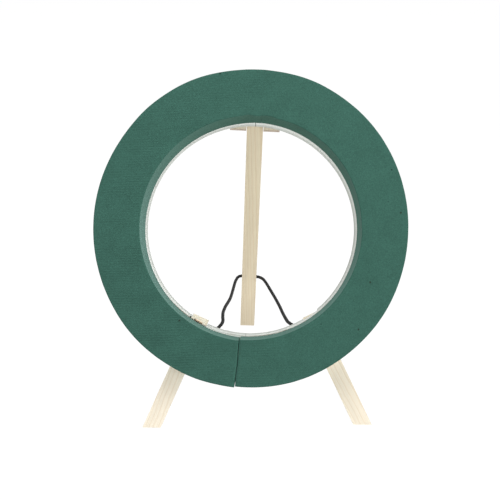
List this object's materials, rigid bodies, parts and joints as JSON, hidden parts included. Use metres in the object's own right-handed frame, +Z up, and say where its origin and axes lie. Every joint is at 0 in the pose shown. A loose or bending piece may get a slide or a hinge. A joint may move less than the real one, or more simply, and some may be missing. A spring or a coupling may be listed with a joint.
{
  "type": "standing wreath frame",
  "caption": "Floral foam ring on a polystyrene base, leaning on splayed wooden front legs and a hinged wooden rear leg that a cord holds open.",
  "frame": {"origin": "middle of the object's footprint box, on the floor that its three feet stand on", "axes": "+Z up; +X to the right seen from the front; the foam's front face looks to -Y and up"},
  "size_m": [0.499, 0.3816, 0.5396],
  "materials": {
    "foam": "fine open-cell foam, wire-cut",
    "film": "dried glue",
    "polystyrene": "moulded bead foam",
    "pine": "sawn and planed, unvarnished",
    "steel": "drawn wire",
    "hot_melt": "smooth",
    "cord": "twisted strands"
  },
  "bodies": {
    "frame": {"foam_half_left": "foam", "foam_half_right": "foam", "foam_glue_left": "film", "foam_glue_right": "film", "base_half_left": "polystyrene", "base_half_right": "polystyrene", "front_leg_left": "pine", "front_leg_right": "pine", "hinge_block_left": "pine", "hinge_block_right": "pine", "hinge_nail": "steel", "block_glue_left": "hot_melt", "block_glue_right": "hot_melt", "leg_glue_left": "hot_melt", "leg_glue_right": "hot_melt", "squeezed_glue": "hot_melt", "cord_staple_left": "steel", "cord_staple_right": "steel", "stay_cord": "cord"},
    "rear_leg": {"rear_leg": "pine", "cord_staple_rear": "steel"}
  },
  "joints": [
    {"name": "rear_leg_fold", "type": "hinge", "parent": "frame", "child": "rear_leg", "pos_m": [0.0055, 0.06459, 0.45056], "axis": [-0.9994, 0.0147, 0.0316], "range_deg": [0, 40], "deforming": ["stay_cord"]}
  ]
}
